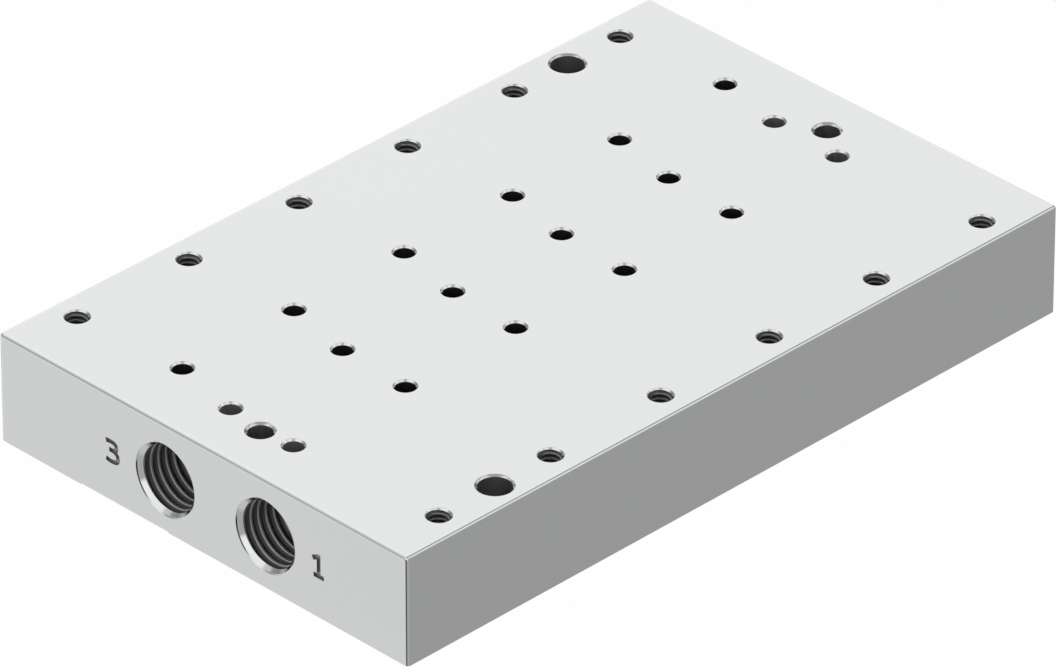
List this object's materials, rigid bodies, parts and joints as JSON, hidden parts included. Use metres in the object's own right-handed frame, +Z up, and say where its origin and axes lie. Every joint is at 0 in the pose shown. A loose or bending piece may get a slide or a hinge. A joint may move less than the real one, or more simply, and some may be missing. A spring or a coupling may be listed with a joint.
{
  "type": "valve manifold rail",
  "caption": "Flat aluminium block that carries a row of air valves: supply and exhaust galleries run lengthwise with threaded end ports, and outlet ports open on the underside.",
  "frame": {"origin": "centre of the base, on the bottom face", "axes": "+X along the rail away from the numbered end, +Y across it away from the screw row with the first corner hole, +Z up through the valve face"},
  "size_m": [0.1108, 0.0698, 0.0152],
  "materials": {
    "anodised_aluminium": "satin natural anodised"
  },
  "bodies": {
    "root": {"manifold_rail": "anodised_aluminium"}
  },
  "joints": []
}
